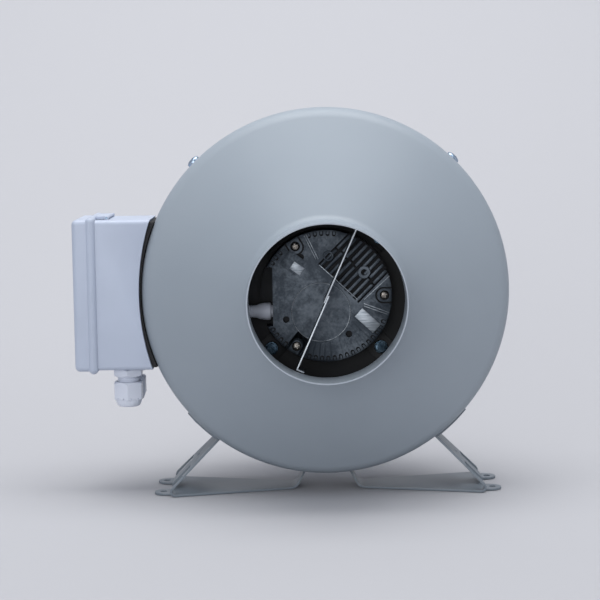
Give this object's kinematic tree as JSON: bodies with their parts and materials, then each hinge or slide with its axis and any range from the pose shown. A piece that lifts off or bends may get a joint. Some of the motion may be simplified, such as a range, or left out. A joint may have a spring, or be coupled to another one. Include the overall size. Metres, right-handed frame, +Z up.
{
  "type": "inline duct fan",
  "caption": "Round inline duct fan with a two-part sheet casing, outlet-side motor, terminal box with cable glands and folded foot brackets.",
  "frame": {"origin": "on the floor under the middle of the object's box", "axes": "+Z up; the fan's axis is parallel to Y, with the outlet at -Y and the inlet at +Y; the terminal box is on the -X side"},
  "size_m": [0.426, 0.3, 0.379],
  "materials": {
    "painted_sheet": "satin light grey powder coat on sheet steel",
    "galvanised_sheet": "dull satin galvanised sheet with a faint mottle",
    "zinc_steel": "bright blue zinc plating",
    "black_steel": "black painted or electro-coated steel",
    "cast_aluminium": "dark, blotchy as-cast die casting",
    "impeller_plastic": "matt moulded plastic",
    "box_plastic": "smooth light blue-grey moulding",
    "gland_plastic": "pale grey moulding",
    "black_foam": "closed-cell foam",
    "black_rubber": "matt rubber",
    "copper_winding": "enamelled copper wire",
    "circuit_board": "green solder mask",
    "terminal_plastic": "cream moulded plastic"
  },
  "bodies": {
    "fan": {"arm_bolt_1": "zinc_steel", "arm_bolt_2": "zinc_steel", "arm_bolt_3": "zinc_steel", "arm_bolt_4": "zinc_steel", "bearing_front": "zinc_steel", "bearing_rear": "zinc_steel", "bearing_tube": "cast_aluminium", "box_body": "box_plastic", "box_screw_1": "zinc_steel", "box_screw_2": "zinc_steel", "box_seal": "black_foam", "cable_grommet": "black_rubber", "cable_sleeve": "gland_plastic", "casing_screw_1": "zinc_steel", "casing_screw_2": "zinc_steel", "casing_screw_3": "zinc_steel", "casing_screw_4": "zinc_steel", "circuit_board": "circuit_board", "electronics_housing": "cast_aluminium", "flow_vane_lower": "galvanised_sheet", "flow_vane_upper": "galvanised_sheet", "gland_body_front": "gland_plastic", "gland_body_rear": "gland_plastic", "gland_seal_front": "black_rubber", "gland_seal_rear": "black_rubber", "housing_screw_1": "zinc_steel", "housing_screw_2": "zinc_steel", "housing_screw_3": "zinc_steel", "inlet_cone": "galvanised_sheet", "inlet_shell": "painted_sheet", "left_bracket": "painted_sheet", "lid_hinge_pin": "zinc_steel", "lock_nut_front": "gland_plastic", "lock_nut_rear": "gland_plastic", "motor_cable": "black_rubber", "motor_plate": "black_steel", "outlet_shell": "painted_sheet", "right_bracket": "painted_sheet", "stator_core": "black_steel", "stator_flange": "cast_aluminium", "support_arm_1": "black_steel", "support_arm_2": "black_steel", "support_arm_3": "black_steel", "support_arm_4": "black_steel", "terminal_block": "terminal_plastic", "vane_rivet": "galvanised_sheet", "winding_front": "copper_winding", "winding_rear": "copper_winding"},
    "rotor": {"rotor_bell": "black_steel", "magnet_ring": "black_steel", "rotor_shaft": "zinc_steel", "impeller": "impeller_plastic"},
    "lid": {"box_lid": "box_plastic", "lid_gasket": "black_foam", "lid_screw_1": "zinc_steel", "lid_screw_2": "zinc_steel"},
    "front_gland_nut": {"gland_nut_front": "gland_plastic"},
    "rear_gland_nut": {"gland_nut_rear": "gland_plastic"}
  },
  "joints": [
    {"name": "impeller_spin", "type": "hinge", "parent": "fan", "child": "rotor", "pos_m": [0.033, 0, 0.199], "axis": [0, 1, 0], "continuous": true},
    {"name": "lid_hinge", "type": "hinge", "parent": "fan", "child": "lid", "pos_m": [-0.1798, 0, 0.2744], "axis": [0, 1, 0], "range_deg": [0, 110]},
    {"name": "front_nut_turn", "type": "hinge", "parent": "fan", "child": "front_gland_nut", "pos_m": [-0.163, -0.02, 0.104], "axis": [0, 0, 1], "range_deg": [0, 360]},
    {"name": "rear_nut_turn", "type": "hinge", "parent": "fan", "child": "rear_gland_nut", "pos_m": [-0.163, 0.02, 0.104], "axis": [0, 0, 1], "range_deg": [0, 360]}
  ]
}
